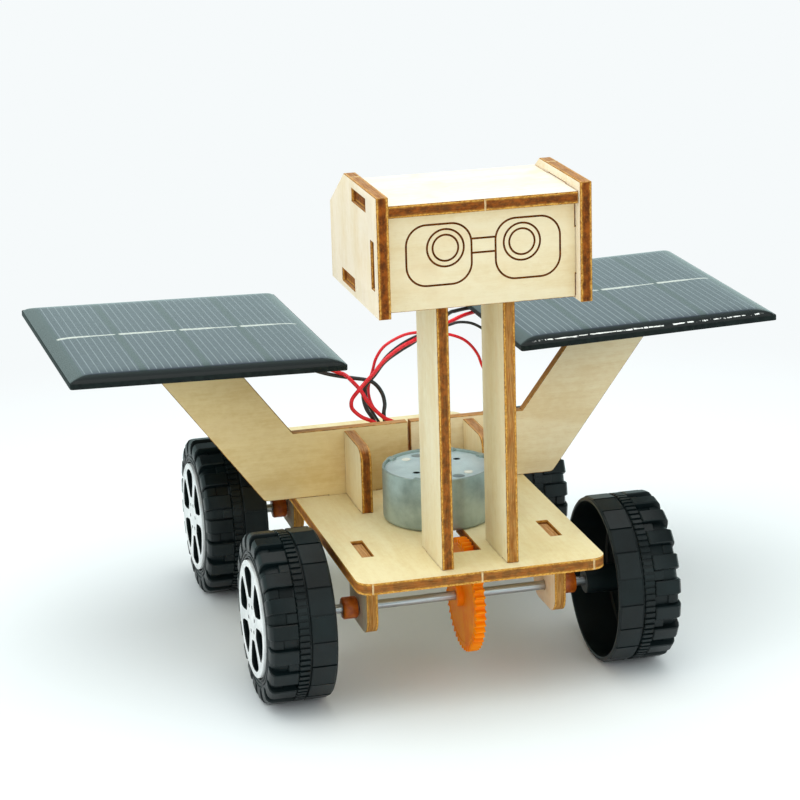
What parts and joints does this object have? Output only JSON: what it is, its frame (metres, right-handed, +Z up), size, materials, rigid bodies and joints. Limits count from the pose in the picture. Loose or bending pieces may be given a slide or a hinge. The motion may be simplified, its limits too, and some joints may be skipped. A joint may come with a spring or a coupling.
{
  "type": "solar robot kit",
  "caption": "Flat-pack plywood rover with a box head on two posts, two tilted solar panels, a worm-driven front axle and hollow black wheels.",
  "frame": {"origin": "on the ground, below the centre of the whole kit's bounding box", "axes": "-Y is the front, where the face looks; +X is the kit's width, to the right as seen from the front; +Z is up"},
  "size_m": [0.1618, 0.1206, 0.1129],
  "materials": {
    "plywood": "bare basswood plywood with dark laser-cut edges",
    "circuit_board": "dark solar panel base board",
    "solar_cell": "blue-grey solar cells with fine silver lines",
    "clear_resin": "clear glossy domed resin",
    "motor_steel": "zinc-plated steel can",
    "axle_steel": "bright drawn steel rod",
    "bearing_brass": "plain brass bearing",
    "copper": "copper winding, commutator and solder tags",
    "magnet_ferrite": "dark ferrite magnet",
    "foam_tape": "white foam tape",
    "gear_orange": "translucent orange moulded plastic",
    "worm_white": "white moulded plastic",
    "bush_rubber": "brown-orange tube",
    "wheel_black": "black moulded plastic tyre and wheel in one",
    "hub_silver": "silver plastic hub disc",
    "wire_red": "red wire insulation",
    "wire_black": "black wire insulation"
  },
  "bodies": {
    "chassis": {"axle_bracket_front_left": "plywood", "axle_bracket_front_right": "plywood", "axle_bracket_rear_left": "plywood", "axle_bracket_rear_right": "plywood", "deck": "plywood", "head_bottom_plate": "plywood", "head_front_plate": "plywood", "head_side_left": "plywood", "head_side_right": "plywood", "head_top_plate": "plywood", "motor_bearing": "bearing_brass", "motor_can": "motor_steel", "motor_end_plate": "motor_steel", "motor_magnet_left": "magnet_ferrite", "motor_magnet_right": "magnet_ferrite", "motor_terminal_left": "copper", "motor_terminal_right": "copper", "neck_post_left": "plywood", "neck_post_right": "plywood", "panel_pad_left": "foam_tape", "panel_pad_right": "foam_tape", "solar_board_left": "circuit_board", "solar_board_right": "circuit_board", "solar_cells_left": "solar_cell", "solar_cells_right": "solar_cell", "solar_resin_left": "clear_resin", "solar_resin_right": "clear_resin", "wing_brace_left": "plywood", "wing_brace_right": "plywood", "wing_left": "plywood", "wing_right": "plywood", "wire_black_left": "wire_black", "wire_black_right": "wire_black", "wire_red_left": "wire_red", "wire_red_right": "wire_red"},
    "front_axle": {"front_axle_rod": "axle_steel", "front_bush_left": "bush_rubber", "front_bush_right": "bush_rubber", "front_hub_disc_left": "hub_silver", "front_hub_disc_right": "hub_silver", "front_wheel_left": "wheel_black", "front_wheel_right": "wheel_black", "drive_gear": "gear_orange"},
    "rear_axle": {"rear_axle_rod": "axle_steel", "rear_bush_left": "bush_rubber", "rear_bush_right": "bush_rubber", "rear_hub_disc_left": "hub_silver", "rear_hub_disc_right": "hub_silver", "rear_wheel_left": "wheel_black", "rear_wheel_right": "wheel_black"},
    "motor_rotor": {"motor_shaft": "axle_steel", "worm": "worm_white", "motor_armature": "copper", "motor_commutator": "copper"}
  },
  "joints": [
    {"name": "front_axle_spin", "type": "hinge", "parent": "chassis", "child": "front_axle", "pos_m": [0, -0.0331, 0.01836], "axis": [1, 0, 0], "continuous": true},
    {"name": "rear_axle_spin", "type": "hinge", "parent": "chassis", "child": "rear_axle", "pos_m": [0, 0.0385, 0.01836], "axis": [1, 0, 0], "continuous": true},
    {"name": "motor_spin", "type": "hinge", "parent": "chassis", "child": "motor_rotor", "pos_m": [0.0006, -0.0168, 0.03], "axis": [0, 0, 1], "continuous": true}
  ],
  "couplings": [
    {"joint": "motor_spin", "follows": "front_axle_spin", "ratio": -48}
  ]
}
